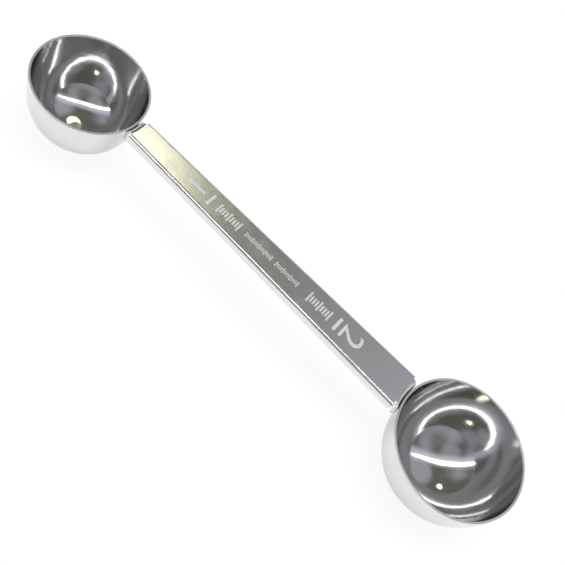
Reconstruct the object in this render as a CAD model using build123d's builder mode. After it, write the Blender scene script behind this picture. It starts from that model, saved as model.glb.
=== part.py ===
from build123d import *
from math import asin, atan2, cos, degrees, pi, radians, sin, tan
import os

# A double-ended measuring spoon. Two deep round cups are drawn from sheet steel, and one
# pressed channel handle joins them rim to rim. Each end of the handle is bent down
# into a tab that is curved to the cup's wall and spot-welded to it.
# Frame: X runs from the small cup to the large one, Z is up, and the origin lies under
# the middle of the spoon, on the surface that it rests on.

os.makedirs("parts", exist_ok=True)

# The whole spoon
cup_spacing = 166.0  # between the axes of the two cups

# The sheet that the pieces are made from
cup_steel = 0.8
handle_steel = 0.9
rim_rounding = 0.25  # the deburred edges of a rim

# Small cup, inside sizes. Its wall leaves the mouth almost upright and sweeps in one curve
# into a tiny flat foot. Each pull says how far the curve holds its direction at that end.
small_mouth_radius = 19.25
small_depth = 23.5
small_wall_lean = 0.7  # degrees from upright, at the mouth
small_wall_pull = 18.2
small_foot_radius = 1.5
small_foot_pull = 9.5

# Large cup, inside sizes
large_mouth_radius = 22.95
large_depth = 25.85
large_wall_lean = 0.2
large_wall_pull = 19.1
large_foot_radius = 1.5
large_foot_pull = 8.6

# Handle
small_end_width = 9.8  # across the handle, beside the small cup
large_end_width = 15.4
handle_rise = 0.8  # its flat top over the rims
flange_depth = 2.9  # from the flat top to the edges of the turned-down flanges
flange_bend_radius = 1.3  # outside, where the top turns into a flange
flange_end_radius = 1.2  # the rounded lower corner at the end of a flange

# The tabs at the handle's ends
tab_bend_radius = 2.0  # outside, where the top turns down into a tab
tab_shoulder = 0.3  # the flat top is wider than the tab by this much on each side
tab_reach = 6.6  # how far a tab reaches below the rims
tab_corner_radius = 1.8
weld_gap = 0.05  # between a tab and the wall that it is welded to

# The round dents that the welding tips leave, two in a row on each tab
weld_radius = 1.1
weld_dent = 0.15
weld_pitch_share = 0.5  # from one weld to the other, as a share of the tab's width
weld_place_share = 0.115  # how far down the wall's sweep they lie, as a share of it
cut_overrun = 1.0  # how far a cutting tool runs past what it cuts
wall_steps = 24  # the outside of a wall is set off from its inside at this many steps


def outside_radius(mouth_radius, wall_lean):
    """The outside of a cup at its rim, where the sheet lies square to the leaning wall."""
    return mouth_radius + cup_steel * cos(radians(wall_lean))


small_outside_radius = outside_radius(small_mouth_radius, small_wall_lean)
large_outside_radius = outside_radius(large_mouth_radius, large_wall_lean)

# The rims lie in one plane, and the deeper cup stands on the surface
rim_z = max(small_depth, large_depth) + cup_steel
top_z = rim_z + handle_rise
centring_shift = (large_outside_radius - small_outside_radius) / 2
small_axis_x = -cup_spacing / 2 - centring_shift
large_axis_x = cup_spacing / 2 - centring_shift


def wall_sweep(mouth_radius, depth, wall_lean, wall_pull, foot_radius, foot_pull):
    """The inside of a wall in one curve, from the mouth's edge to the edge of the foot."""
    lean = radians(wall_lean)
    with BuildLine(mode=Mode.PRIVATE) as line:
        Bezier(
            (mouth_radius, rim_z),
            (mouth_radius - wall_pull * sin(lean), rim_z - wall_pull * cos(lean)),
            (foot_radius + foot_pull, rim_z - depth),
            (foot_radius, rim_z - depth),
        )
    return line.edges()[0]


small_wall = wall_sweep(
    small_mouth_radius, small_depth, small_wall_lean, small_wall_pull, small_foot_radius, small_foot_pull
)
large_wall = wall_sweep(
    large_mouth_radius, large_depth, large_wall_lean, large_wall_pull, large_foot_radius, large_foot_pull
)


def drawn_cup(axis_x, wall):
    """A cup drawn from one disc of sheet: a round bowl with a flat foot and rounded rim edges."""
    outside_points = []
    for step in range(wall_steps + 1):
        outwards = (wall % (step / wall_steps)).rotate(Axis.Z, 90)
        outside_points.append(wall @ (step / wall_steps) + outwards * cup_steel)
    with BuildPart() as cup:
        with BuildSketch(Plane.XZ.shift_origin((axis_x, 0, 0))) as section:
            with BuildLine():
                add(wall)
                outside = Spline(*outside_points, tangents=(wall % 0, wall % 1))
                Line(wall @ 0, outside @ 0)
                floor = wall @ 1
                underside = outside @ 1
                Polyline(floor, (0, floor.Y), (0, underside.Y), underside)
            make_face()
            rim_corners = section.vertices().sort_by(Axis.Y)[-2:]
            fillet(rim_corners, radius=rim_rounding)
        revolve(axis=Axis((axis_x, 0, 0), (0, 0, 1)))
    return cup.part


with BuildPart() as small_cup:
    add(drawn_cup(small_axis_x, small_wall))
small_cup.part.label = "small_cup"

with BuildPart() as large_cup:
    add(drawn_cup(large_axis_x, large_wall))
large_cup.part.label = "large_cup"


# Handle: one strip, pressed to a channel that widens towards the large cup. Its flanges
# stop where the bends begin, and the flat of its top turns down into the tabs.
def width_at(x):
    small_wall_x = small_axis_x + small_outside_radius
    large_wall_x = large_axis_x - large_outside_radius
    way_along = (x - small_wall_x) / (large_wall_x - small_wall_x)
    return small_end_width + (large_end_width - small_end_width) * way_along


middle_z = top_z - handle_steel / 2  # the middle of the top's sheet
tab_end_z = rim_z - tab_reach


def channel_section(x):
    """The strip's section at x: a flat top between two turned-down flanges."""
    half_width = width_at(x) / 2 - handle_steel / 2
    with BuildSketch(Plane.YZ.offset(x)) as section:
        with BuildLine():
            FilletPolyline(
                (-half_width, top_z - flange_depth),
                (-half_width, middle_z),
                (half_width, middle_z),
                (half_width, top_z - flange_depth),
                radius=flange_bend_radius - handle_steel / 2,
            )
        trace(line_width=handle_steel)
    return section.sketch


def radial_plane(axis_x, way, angle):
    """An upright plane through a cup's axis, turned by angle from the handle's middle line."""
    outwards = Vector(way, 0, 0).rotate(Axis.Z, angle)
    return Plane(origin=(axis_x, 0, 0), x_dir=outwards, z_dir=outwards.cross(Vector(0, 0, 1)))


def tab_seat(wall):
    """Where a straight tab lies on the outside of a round wall: the radius at which its line
    meets the rims' level, the line's slope, and the height of the welds, where it touches."""
    inside = wall @ weld_place_share
    downwards = wall % weld_place_share
    slope = atan2(-downwards.X, -downwards.Y)
    weld_z = inside.Y - cup_steel * sin(slope)
    touch_radius = inside.X + cup_steel * cos(slope)
    return touch_radius + (rim_z - weld_z) * tan(slope), slope, weld_z


def tab_middle_radius(seat, slope, z):
    """From a cup's axis to the middle of the tab's sheet."""
    return seat - (rim_z - z) * tan(slope) + (weld_gap + handle_steel / 2) / cos(slope)


def bend_start(seat, slope):
    """From a cup's axis to the arc where the flat top ends and the bend begins."""
    middle_bend_radius = tab_bend_radius - handle_steel / 2
    return tab_middle_radius(seat, slope, middle_z) + middle_bend_radius * tan((pi / 2 + slope) / 2)


ends = (
    (small_axis_x, 1, *tab_seat(small_wall)),
    (large_axis_x, -1, *tab_seat(large_wall)),
)

with BuildPart() as handle:
    for axis_x, way, seat, slope, weld_z in ends:
        add(channel_section(axis_x))
    loft(ruled=True)

    # Each end is cut round, in line with its cup, and the flanges' lower corners are rounded
    for axis_x, way, seat, slope, weld_z in ends:
        with BuildSketch(Plane.XY.offset(top_z - flange_depth - cut_overrun)):
            with Locations((axis_x, 0)):
                Circle(bend_start(seat, slope))
        extrude(amount=flange_depth + 2 * cut_overrun, mode=Mode.SUBTRACT)
    flange_edges = handle.edges().group_by(Axis.Z)[0]
    fillet(flange_edges.filter_by(lambda edge: edge.length < 2 * handle_steel), radius=flange_end_radius)

    for axis_x, way, seat, slope, weld_z in ends:
        start = bend_start(seat, slope)
        tab_half_width = width_at(axis_x + way * start) / 2 - flange_bend_radius - tab_shoulder
        half_angle = degrees(asin(tab_half_width / start))

        # The tab: the sheet's section in an upright plane, turned about the cup's axis
        with BuildSketch(radial_plane(axis_x, way, -half_angle)):
            with BuildLine():
                FilletPolyline(
                    (start, middle_z),
                    (tab_middle_radius(seat, slope, middle_z), middle_z),
                    (tab_middle_radius(seat, slope, tab_end_z), tab_end_z),
                    radius=tab_bend_radius - handle_steel / 2,
                )
            trace(line_width=handle_steel)
        revolve(axis=Axis((axis_x, 0, 0), (0, 0, 1)), revolution_arc=2 * half_angle)

        # The dents of the two spot welds, on the tab's free side
        free_side = tab_middle_radius(seat, slope, weld_z) + handle_steel / 2 / cos(slope)
        weld_angle = half_angle * weld_pitch_share
        for angle in (-weld_angle, weld_angle):
            outwards = Vector(way, 0, 0).rotate(Axis.Z, angle)
            middle = Vector(axis_x, 0, weld_z) + outwards * (free_side - weld_dent)
            with BuildSketch(Plane(origin=middle, z_dir=outwards)):
                Circle(weld_radius)
            extrude(amount=cut_overrun, mode=Mode.SUBTRACT)

    lower_edges = handle.edges().filter_by(lambda edge: edge.center().Z < tab_end_z + handle_steel)
    fillet(lower_edges.filter_by(GeomType.LINE), radius=tab_corner_radius)
handle.part.label = "handle"

for piece in (small_cup, large_cup, handle):
    export_step(piece.part, f"parts/{piece.part.label}.step")
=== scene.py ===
# %% [markdown]
# # A double-ended measuring spoon in polished steel
#
# The spoon is three pieces of sheet steel: a small bowl, a larger bowl, and a pressed
# channel that joins them rim to rim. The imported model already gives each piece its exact
# shape and place. This script adds what the eye looks for in polished steel: reflections
# that run smoothly, fine marks from the polishing wheel, and the etched numerals. It ends
# with the lamps and the camera that show them.

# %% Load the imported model
import math

import bmesh
import bpy
from mathutils import Matrix, Vector


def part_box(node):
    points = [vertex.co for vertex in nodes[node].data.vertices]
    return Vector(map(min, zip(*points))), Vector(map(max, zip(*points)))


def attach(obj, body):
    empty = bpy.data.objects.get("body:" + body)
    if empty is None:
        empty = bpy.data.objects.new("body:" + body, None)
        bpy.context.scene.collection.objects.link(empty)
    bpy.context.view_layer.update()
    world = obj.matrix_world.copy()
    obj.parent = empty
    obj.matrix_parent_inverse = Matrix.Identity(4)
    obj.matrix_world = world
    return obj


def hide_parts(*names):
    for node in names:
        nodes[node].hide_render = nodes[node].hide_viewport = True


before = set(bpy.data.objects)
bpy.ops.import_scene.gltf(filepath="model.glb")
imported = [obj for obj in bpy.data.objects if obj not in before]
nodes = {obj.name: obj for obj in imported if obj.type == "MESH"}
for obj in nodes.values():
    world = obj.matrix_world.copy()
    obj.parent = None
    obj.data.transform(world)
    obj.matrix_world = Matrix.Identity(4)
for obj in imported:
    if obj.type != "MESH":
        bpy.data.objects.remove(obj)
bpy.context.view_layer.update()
mm = 0.001
print("nodes:", sorted(nodes))

# %% [markdown]
# ## Where things are
#
# The bowls' axes, the rims' height and the top of the handle are measured from the imported
# model, so what is set out from them follows it if the spoon changes. The rims of both bowls
# lie in one plane, and each bowl's axis runs through the middle of its box.

# %% Measure the spoon
small_low, small_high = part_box("small_cup")
large_low, large_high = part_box("large_cup")
handle_low, handle_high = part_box("handle")
small_axis = Vector(((small_low.x + small_high.x) / 2, 0, 0))
large_axis = Vector(((large_low.x + large_high.x) / 2, 0, 0))
rim_z = large_high.z
top_z = handle_high.z
print("axes at", round(small_axis.x / mm, 2), "and", round(large_axis.x / mm, 2), "mm")

# %% [markdown]
# ## The camera
#
# The spoon is seen from above its near side, from about arm's length, with the camera
# rolled so that the handle runs from the upper left to the lower right. The camera could be
# aimed with a constraint, but a roll is then awkward, so its three axes are worked out and
# written as one matrix.

# %% Place the camera
view_azimuth = math.radians(5.10)
view_elevation = math.radians(53.30)
view_roll = math.radians(40.56)
view_distance = 301.8 * mm
view_target = Vector((4.581 * mm, -2.96 * mm, rim_z))
photo_side = 565
focal_pixels = 954.1

back = Vector(
    (
        math.sin(view_azimuth) * math.cos(view_elevation),
        -math.cos(view_azimuth) * math.cos(view_elevation),
        math.sin(view_elevation),
    )
)
level_right = (-back).cross(Vector((0, 0, 1))).normalized()
level_up = back.cross(level_right)
right = level_right * math.cos(view_roll) + level_up * math.sin(view_roll)
up = level_up * math.cos(view_roll) - level_right * math.sin(view_roll)

camera_data = bpy.data.cameras.new("camera")
camera_data.sensor_width = 36
camera_data.lens = focal_pixels / photo_side * camera_data.sensor_width
camera_data.clip_start = 0.01
camera_data.clip_end = 20
camera = bpy.data.objects.new("camera", camera_data)
bpy.context.scene.collection.objects.link(camera)
place = Matrix((right, up, back)).transposed().to_4x4()
place.translation = view_target + back * view_distance
camera.matrix_world = place
bpy.context.scene.camera = camera
bpy.context.scene.view_settings.view_transform = "Standard"
print("lens", round(camera_data.lens, 1), "mm")

# %% [markdown]
# ## Shader maths as plain sums
#
# A node tree is easier to read as a formula. The class `Value` wraps one socket, and its
# operators add the Math nodes that they stand for. `Finish` owns the tree of a material or
# of the world, and every node comes from its one method. A Math node would turn a colour
# grey, so colours are mixed by a Mix node instead.


# %% A socket that takes part in sums
class Value:
    """A socket of a node tree. Sums with it add Math nodes."""

    def __init__(self, finish, socket):
        self.finish = finish
        self.socket = socket

    def maths(self, operation, *terms):
        """The result of one operation on one or two terms."""
        return self.finish.node("Math", {"operation": operation}, dict(enumerate(terms)))

    def __add__(self, other):
        return self.maths("ADD", self, other)

    def __radd__(self, other):
        return self.maths("ADD", other, self)

    def __sub__(self, other):
        return self.maths("SUBTRACT", self, other)

    def __rsub__(self, other):
        return self.maths("SUBTRACT", other, self)

    def __mul__(self, other):
        return self.maths("MULTIPLY", self, other)

    def __rmul__(self, other):
        return self.maths("MULTIPLY", other, self)

    def within(self, low, high):
        """0 below low, 1 above high, and a smooth rise between."""
        smooth = {"interpolation_type": "SMOOTHSTEP"}
        ends = {"Value": self, "From Min": low, "From Max": high}
        return self.finish.node("MapRange", smooth, ends)


# %% A node tree and the method that adds its nodes
colour_result = 2  # the Mix node has three outputs of one name, and this is the colour


class Finish:
    """A tree of shader nodes, for a material or for the world."""

    def __init__(self, tree):
        self.tree = tree
        self.tree.nodes.clear()

    def node(self, kind, settings=None, sockets=None, output=0):
        """Adds a node: its settings first, then the values or links of its sockets. What comes
        back is one output, by its name or place, or the node itself where it has none."""
        node = self.tree.nodes.new("ShaderNode" + kind)
        for name, setting in (settings or {}).items():
            setattr(node, name, setting)
        for name, given in (sockets or {}).items():
            if isinstance(given, Value):
                self.tree.links.new(given.socket, node.inputs[name])
            else:
                node.inputs[name].default_value = given
        return Value(self, node.outputs[output]) if node.outputs else node

    def blended(self, share, first, second):
        """A colour between two: the first where share is 0, the second where it is 1."""
        colours = {"Factor": share, "A": first, "B": second}
        return self.node("Mix", {"data_type": "RGBA"}, colours, output=colour_result)


def new_material(name):
    material = bpy.data.materials.new(name)
    material.use_nodes = True
    return material, Finish(material.node_tree)


# %% [markdown]
# ## Polished steel
#
# Stainless steel has no colour of its own beyond a faint warm grey: nearly all that is seen
# is what it mirrors. A perfect mirror looks like computer glass, though. The real surface
# is a little uneven from the press, carries hair-fine lines from the polishing, and is
# duller in patches where it has been handled. Each of these is one noise texture at its own
# scale, and together they feed the roughness, the colour and one bump.

# %% How fine and how strong each mark of the finish is
line_density = 9000.0  # a noise texture's scale: how many of its waves fit in a metre
wave_density = 90.0
smudge_density = 160.0
smudge_range = (0.45, 0.75)  # from clean metal to well handled
smudge_darkening = 0.93  # the colour of handled metal, as a share of the clean one
smudge_cover = 0.35
uneven_gloss = 0.05  # the roughness that the lines and the smudges add
ground_roughness = 0.4  # the roughness that grinding adds
ground_band = (0.3 * mm, 0.1 * mm)  # below the rim: where grinding begins, and is full
print("polishing lines:", line_density / 1000, "per mm")


# %% A steel whose fine lines follow a given coordinate
def steel(name, line_coordinate, colour, gloss, line_depth, wave_depth, film, ground=None):
    """Polished steel. line_coordinate(finish, point) gives what the polishing lines follow,
    gloss is the roughness of the clean metal, the depths are in metres, and film is how much
    of its mirror a thin film of grease takes away. ground(finish, point), where given, is 1
    where the metal is ground."""
    material, finish = new_material(name)
    point = finish.node("TexCoord", output="Object")
    lines = finish.node(
        "TexNoise",
        {"noise_dimensions": "1D"},
        {
            "W": line_coordinate(finish, point),
            "Scale": line_density,
            "Detail": 3.0,
            "Roughness": 0.6,
        },
    )
    waves = finish.node(
        "TexNoise",
        {},
        {"Vector": point, "Scale": wave_density, "Detail": 1.0, "Roughness": 0.4},
    )
    smudges = finish.node(
        "TexNoise",
        {},
        {
            "Vector": point,
            "Scale": smudge_density,
            "Detail": 4.0,
            "Roughness": 0.55,
            "Distortion": 0.6,
        },
    )
    handled = smudges.within(*smudge_range)
    roughness = gloss + uneven_gloss * handled + uneven_gloss * lines
    if ground:
        roughness = roughness + ground_roughness * ground(finish, point)
    handled_colour = [share * smudge_darkening for share in colour]
    tint = finish.blended(handled * smudge_cover, (*colour, 1), (*handled_colour, 1))
    height = lines * line_depth + waves * wave_depth
    bump = finish.node("Bump", {}, {"Height": height, "Strength": 1.0, "Distance": 1.0})
    surface = finish.node(
        "BsdfPrincipled",
        {},
        {
            "Base Color": tint,
            "Metallic": (1.0 - film) - film * handled,
            "Roughness": roughness,
            "Normal": bump,
        },
    )
    finish.node("OutputMaterial", {}, {"Surface": surface})
    return material


# %% Where the polishing lines run, and where the metal is ground
def around(axis):
    """Lines that run round a bowl's axis, as the spinning polisher leaves them."""

    def coordinate(finish, point):
        from_axis = finish.node(
            "VectorMath", {"operation": "SUBTRACT"}, {0: point, 1: tuple(axis)}
        )
        level = finish.node(
            "VectorMath", {"operation": "MULTIPLY"}, {0: from_axis, 1: (1.0, 1.0, 0.0)}
        )
        radius = finish.node("VectorMath", {"operation": "LENGTH"}, {0: level}, output="Value")
        height = finish.node("SeparateXYZ", {}, {0: point}, output="Z")
        return radius - height

    return coordinate


def near_rim(finish, point):
    """1 on the edge of a rim, which is ground after the bowl is drawn and trimmed."""
    height = finish.node("SeparateXYZ", {}, {0: point}, output="Z")
    begins, full = ground_band
    return height.within(rim_z - begins, rim_z - full)


def lengthwise(finish, point):
    """Lines that run along the handle."""
    across = finish.node("SeparateXYZ", {}, {0: point}, output="Y")
    height = finish.node("SeparateXYZ", {}, {0: point}, output="Z")
    return across + height


# %% The steels of the spoon
polished = {
    "colour": (0.7, 0.7, 0.69),
    "gloss": 0.06,
    "line_depth": 3e-7,
    "wave_depth": 1.2e-5,
    "film": 0.015,
}
small_bowl_steel = steel("small_bowl_steel", around(small_axis), ground=near_rim, **polished)
large_bowl_steel = steel("large_bowl_steel", around(large_axis), ground=near_rim, **polished)
satin = {
    "colour": (0.74, 0.74, 0.72),
    "gloss": 0.19,
    "line_depth": 3e-7,
    "wave_depth": 3e-6,
    "film": 0.03,
}
handle_steel = steel("handle_steel", lengthwise, **satin)
for name, material in (("small_cup", small_bowl_steel), ("large_cup", large_bowl_steel)):
    nodes[name].data.materials.clear()
    nodes[name].data.materials.append(material)
    print(name, "is finished in", material.name)

# %% [markdown]
# ## The etched marks
#
# The handle carries a numeral beside each cup, and between them rows of short lines like
# those of a ruler. On the real one they are etched: a little below the face and frosted, so
# they look paler than the satin steel around them. A bump or a painted mask could suggest
# that, but then the marks' walls would never catch the light. Here each mark is a thin
# solid, and together they are cut out of the handle's face.

# %% The frosted floor of the marks
grain_density = 6000.0
grain_height = 6e-6
etched, finish = new_material("etched_steel")
point = finish.node("TexCoord", output="Object")
grains = finish.node("TexNoise", {}, {"Vector": point, "Scale": grain_density, "Detail": 2.0})
frost = finish.node("Bump", {}, {"Height": grains * grain_height, "Strength": 1.0, "Distance": 1.0})
pale = finish.blended(grains, (0.56, 0.56, 0.55, 1), (0.66, 0.66, 0.65, 1))
surface = finish.node(
    "BsdfPrincipled",
    {},
    {"Base Color": pale, "Metallic": 0.4, "Roughness": 0.5 + 0.2 * grains, "Normal": frost},
)
finish.node("OutputMaterial", {}, {"Surface": surface})
print("etched floor ready")

# %% Thin solids for the marks
mark_depth = 0.06 * mm
mark_overrun = 0.3 * mm
mark_middle_z = top_z + (mark_overrun - mark_depth) / 2
mark_height = mark_depth + mark_overrun
numeral_spread = 1.15  # the numerals are a little broader than the typeface's
short_share = 0.65  # a short line of a scale, as a share of a long one
long_every = 4  # every fourth line of a scale is long
cutter = bmesh.new()


def add_line(x, length, breadth):
    """A straight mark across the handle, on its middle line."""
    size = Matrix.Diagonal((breadth, length, mark_height, 1))
    bmesh.ops.create_cube(cutter, size=1.0, matrix=Matrix.Translation((x, 0, mark_middle_z)) @ size)


def add_numeral(text, x, height, head):
    """A numeral that stands along the handle, with its head towards +X (1) or -X (-1)."""
    curve = bpy.data.curves.new("numeral", "FONT")
    curve.body = text
    curve.extrude = 0.5
    shape = bpy.data.objects.new("numeral", curve)
    solid = bpy.data.meshes.new_from_object(shape)
    xs = [vertex.co.x for vertex in solid.vertices]
    ys = [vertex.co.y for vertex in solid.vertices]
    scale = height / (max(ys) - min(ys))
    centre = Matrix.Translation((-(min(xs) + max(xs)) / 2, -(min(ys) + max(ys)) / 2, 0))
    turn = Matrix.Rotation(-head * math.pi / 2, 4, "Z")
    place = Matrix.Translation((x, 0, mark_middle_z))
    sizes = Matrix.Diagonal((scale * numeral_spread, scale, mark_height, 1))
    solid.transform(place @ turn @ sizes @ centre)
    cutter.from_mesh(solid)
    bpy.data.meshes.remove(solid)
    bpy.data.objects.remove(shape)
    bpy.data.curves.remove(curve)


def add_scale(first_x, last_x, lines, length, breadth):
    """A row of lines like a ruler's, some of them long."""
    for index in range(lines):
        x = first_x + (last_x - first_x) * index / (lines - 1)
        add_line(x, length * (1 if index % long_every == 0 else short_share), breadth)


# %% Set out the marks
same_place = 1e-7  # corners nearer than this are one corner
add_numeral("1", x=-36.6 * mm, height=7.1 * mm, head=-1)
add_numeral("2", x=32.4 * mm, height=8.3 * mm, head=1)
add_line(x=-30.4 * mm, length=5.0 * mm, breadth=1.1 * mm)
add_line(x=26.2 * mm, length=5.8 * mm, breadth=1.2 * mm)
for first_x, last_x, lines, length, breadth in (
    (-26.6, -17.8, 9, 4.0, 0.65),
    (13.7, 22.6, 9, 4.4, 0.65),
    (-14.5, -3.4, 17, 2.3, 0.38),
    (-1.1, 8.3, 13, 2.3, 0.4),
):
    add_scale(first_x * mm, last_x * mm, lines, length * mm, breadth * mm)
bmesh.ops.remove_doubles(cutter, verts=cutter.verts, dist=same_place)
print("marks:", len(cutter.faces), "faces")

# %% [markdown]
# ## The handle with its marks
#
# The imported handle's mesh is copied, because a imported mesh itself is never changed. The
# copy's corners are welded and its flat faces joined, which gives the cut clean faces.
# A sheared edge is never knife-sharp, so a small bevel breaks every sharp edge and gives it
# the thin bright line that real sheet shows. The curved faces are shaded smooth, and the
# flat ones flat, because smooth shading would draw faint creases from the marks' corners.

# %% Copy the handle and break its edges
edge_break = 0.1 * mm
flat_angle = math.radians(0.05)  # faces that meet at less than this are joined
broken_angle = math.radians(50)  # an edge that turns by more than this is broken
handle_mesh = bpy.data.meshes.new("marked_handle")
body = bmesh.new()
body.from_mesh(nodes["handle"].data)
bmesh.ops.remove_doubles(body, verts=body.verts, dist=same_place)
bmesh.ops.dissolve_limit(body, angle_limit=flat_angle, verts=body.verts, edges=body.edges)
sharp = [edge for edge in body.edges if edge.calc_face_angle(0) > broken_angle]
bmesh.ops.bevel(
    body,
    geom=sharp,
    offset=edge_break,
    offset_type="OFFSET",
    segments=2,
    profile=0.5,
    affect="EDGES",
    clamp_overlap=True,
)
body.to_mesh(handle_mesh)
body.free()
handle_mesh.materials.clear()
handle_mesh.materials.append(handle_steel)
handle_mesh.materials.append(etched)
marked_handle = bpy.data.objects.new("marked_handle", handle_mesh)
bpy.context.scene.collection.objects.link(marked_handle)
print("sharp edges broken:", len(sharp))

# %% Cut the marks
cutter_mesh = bpy.data.meshes.new("marks")
cutter.to_mesh(cutter_mesh)
cutter.free()
cutter_mesh.materials.append(etched)
marks = bpy.data.objects.new("marks", cutter_mesh)
bpy.context.scene.collection.objects.link(marks)
cut = marked_handle.modifiers.new("cut", "BOOLEAN")
cut.operation = "DIFFERENCE"
cut.solver = "EXACT"
cut.material_mode = "TRANSFER"
cut.object = marks
graph = bpy.context.evaluated_depsgraph_get()
cut_mesh = bpy.data.meshes.new_from_object(marked_handle.evaluated_get(graph))
marked_handle.modifiers.remove(cut)
marked_handle.data = cut_mesh
bpy.data.objects.remove(marks)
bpy.data.meshes.remove(cutter_mesh)
bpy.data.meshes.remove(handle_mesh)
print("handle cut:", len(cut_mesh.polygons), "faces")

# %% Shade the handle and put it in place
crease_angle = math.radians(40)
flat_enough = 0.99999  # how far up or down the normal of a flat face points
cut_mesh.set_sharp_from_angle(angle=crease_angle)
for face in cut_mesh.polygons:
    face.use_smooth = abs(face.normal.z) < flat_enough
even = marked_handle.modifiers.new("even", "WEIGHTED_NORMAL")
even.keep_sharp = True
etched_faces = sum(face.material_index == 1 for face in cut_mesh.polygons)
print("faces of the handle that are etched:", etched_faces)

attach(marked_handle, "root")
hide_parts("handle")

# %% [markdown]
# ## The floor
#
# The spoon lies on white, and the white runs on without an edge. A white floor under a lamp
# would turn grey towards the distance, so most of the white that the camera sees here is the
# floor's own glow. Near the spoon a tenth of it is plain paint, which takes the soft shadow
# under the bowls, and far away there is none, so no horizon shows. In the steel the floor
# shows a little over half of its glow, as a tabletop in shade would.

# %% Lay the floor
floor_half = 3.0
floor_mesh = bpy.data.meshes.new("floor")
corners = [(x * floor_half, y * floor_half, 0) for x, y in ((-1, -1), (1, -1), (1, 1), (-1, 1))]
floor_mesh.from_pydata(corners, [], [(0, 1, 2, 3)])
floor = bpy.data.objects.new("floor", floor_mesh)
bpy.context.scene.collection.objects.link(floor)
print("floor", 2 * floor_half, "m square")

# %% Paint the floor
near_glow = 0.9  # how much of the white that the camera sees near the spoon is its own glow
near_reach = 0.25  # metres from the origin, up to where near_glow holds
far_reach = 0.8  # and from here on it is all glow
mirrored_glow = 0.55  # how much of its glow the floor shows in the steel
paint = (0.9, 0.9, 0.9, 1)
material, finish = new_material("floor_white")
by_camera = finish.node("LightPath", output="Is Camera Ray")
mirrored = finish.node("LightPath", output="Is Glossy Ray")
through = finish.node("LightPath", output="Is Transmission Ray")
seen = by_camera.maths("MAXIMUM", by_camera, through)
point = finish.node("TexCoord", output="Object")
distance = finish.node("VectorMath", {"operation": "LENGTH"}, {0: point}, output="Value")
seen_glow = near_glow + (1 - near_glow) * distance.within(near_reach, far_reach)
shown = seen.maths("MAXIMUM", seen * seen_glow, mirrored * mirrored_glow)
painted = finish.node("BsdfDiffuse", {}, {"Color": paint})
glowing = finish.node("Emission", {}, {"Color": (1, 1, 1, 1), "Strength": 1.0})
surface = finish.node("MixShader", {}, {0: shown, 1: painted, 2: glowing})
finish.node("OutputMaterial", {}, {"Surface": surface})
floor_mesh.materials.append(material)
print("floor painted in", material.name)

# %% [markdown]
# ## The room that the steel mirrors
#
# A mirror shows the room, so the room matters more than the lamps' strength. White walls
# meet the floor, and the ceiling overhead is dim and uneven, as a real one is. Along the
# tube the ceiling is lit up, and it has a paler patch beyond the handle and one on the near
# side. The first gives half of the handle its grey, and both show in the bowls. A picture of
# a room could do this too, but a few smooth sums on the direction keep the reflections clean.

# %% Tones and places of the room
wall_white = (1.0, 1.0, 1.0, 1)
wall_top = (0.06, 0.42)  # how steeply a line of sight climbs where the wall starts to end
ceiling_dark = (0.12, 0.135, 0.105, 1)
ceiling_pale = (0.37, 0.365, 0.42, 1)
ceiling_range = (0.35, 0.7)  # of the noise that mixes the two
patch_grey = (0.42, 0.43, 0.48, 1)
patch_edge = (0.925, 0.99)  # the cosines of the angles at which a patch begins, and is full
far_patch = (0.24, 0.47, 0.85)
near_patch = (-0.12, -0.5, 0.86)
tube_glow = (0.8, 0.8, 0.92, 1)
tube_glow_share = 0.7
tube_band = (0.05, 0.24)  # to each side of the tube, the glow fades between these
across_tube = (-0.586, 0.806, 0.09)  # square to the plane of the eye and the tube
print("ceiling from", ceiling_dark[:3], "to", ceiling_pale[:3])

# %% Fill the world
world = bpy.data.worlds.new("room")
bpy.context.scene.world = world
world.use_nodes = True
room = Finish(world.node_tree)
direction = room.node("TexCoord", output="Generated")
height = room.node("SeparateXYZ", {}, {0: direction}, output="Z")
patches = room.node(
    "TexNoise", {}, {"Vector": direction, "Scale": 1.4, "Detail": 1.0, "Roughness": 0.4}
)


def along(way):
    """How far the direction points along a given way: 1 straight along it, 0 square to it."""
    ends = {0: direction, 1: tuple(Vector(way).normalized())}
    return room.node("VectorMath", {"operation": "DOT_PRODUCT"}, ends, output="Value")


ceiling = room.blended(patches.within(*ceiling_range), ceiling_dark, ceiling_pale)
for patch_way, paleness in ((far_patch, 0.85), (near_patch, 0.65)):
    nearness = along(patch_way).within(*patch_edge)
    ceiling = room.blended(paleness * nearness, ceiling, patch_grey)
off_tube = along(across_tube)
lit = 1.0 - off_tube.maths("ABSOLUTE", off_tube).within(*tube_band)
lit_ceiling = room.blended(lit * tube_glow_share, ceiling, tube_glow)
surroundings = room.blended(height.within(*wall_top), wall_white, lit_ceiling)
sky = room.node("Background", {}, {"Color": surroundings, "Strength": 1.0})
room.node("OutputWorld", {}, {"Surface": sky})
print("room set")

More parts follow.
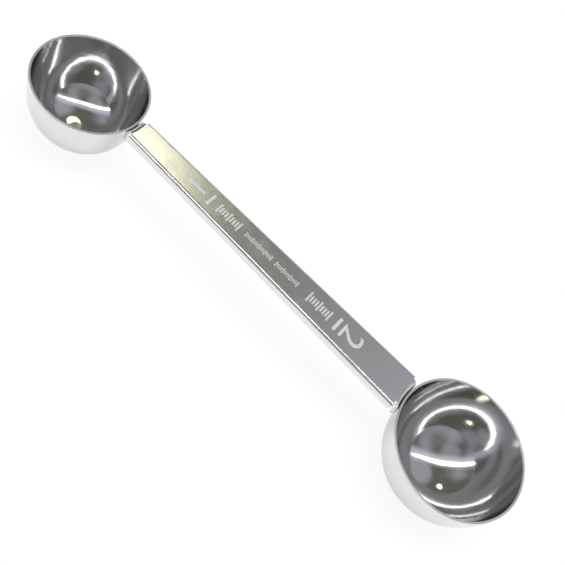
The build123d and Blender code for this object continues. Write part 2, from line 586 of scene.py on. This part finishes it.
# %% [markdown]
# ## The lamps
#
# One long tube slants over the spoon, low on the near side and high beyond it. It is the
# bright line that bends through both bowls. Its face is a long ellipse, so the line thins
# out towards its ends. A small round warm lamp stands beyond the handle and gives the spot
# in each bowl and the warm end of the handle. A wide soft lamp that no mirror sees lights
# the floor. Glowing panels could do the same, but a lamp renders with less noise and is no
# piece of the model. Each is an area lamp, and the power of the two that the steel mirrors
# follows from the size of their face and from how bright it should look.


# %% A round lamp
def lamp(name, position, size, power, colour, mirrored=True):
    """A round lamp that faces the origin."""
    data = bpy.data.lights.new(name, "AREA")
    data.shape = "DISK"
    data.size = size
    data.energy = power
    data.color = colour
    light = bpy.data.objects.new(name, data)
    bpy.context.scene.collection.objects.link(light)
    light.location = position
    light.rotation_mode = "QUATERNION"
    light.rotation_quaternion = (-Vector(position)).to_track_quat("-Z", "Y")
    light.visible_glossy = mirrored
    light.visible_camera = False
    print(name, "lamp:", round(power, 2), "W")


# %% Hang the tube
tube_start = Vector((-1.03, -0.80, 0.28 + rim_z))
tube_end = Vector((0.81, 0.505, 0.875 + rim_z))
tube_breadth = 0.07
tip_allowance = 1.04  # the tips of an ellipse are too thin to be seen, so it is longer
tube_radiance = 5.0
tube_middle = (tube_start + tube_end) / 2
tube_way = (tube_end - tube_start).normalized()
tube_length = (tube_end - tube_start).length * tip_allowance
tube_data = bpy.data.lights.new("tube", "AREA")
tube_data.shape = "ELLIPSE"
tube_data.size = tube_length
tube_data.size_y = tube_breadth
tube_face = math.pi * tube_length * tube_breadth / 4
tube_data.energy = tube_radiance * math.pi * tube_face
tube_data.color = (1.0, 0.99, 1.0)
tube = bpy.data.objects.new("tube", tube_data)
bpy.context.scene.collection.objects.link(tube)
tube.visible_camera = False
tube_back = (tube_middle - tube_middle.project(tube_way)).normalized()
tube_place = Matrix((tube_way, tube_back.cross(tube_way), tube_back)).transposed().to_4x4()
tube_place.translation = tube_middle
tube.matrix_world = tube_place
print("tube:", round(tube_length, 2), "m long")

# %% Hang the warm lamp and the soft one
warm_size = 0.17
warm_radiance = 6.8
warm_face = math.pi * warm_size**2 / 4
lamp(
    "warm",
    position=(-0.375, 0.645, 1.05),
    size=warm_size,
    power=warm_radiance * math.pi * warm_face,
    colour=(1.0, 0.97, 0.72),
)
lamp("fill", position=(0.0, 0.0, 1.5), size=1.2, power=19.0, colour=(1, 1, 1), mirrored=False)
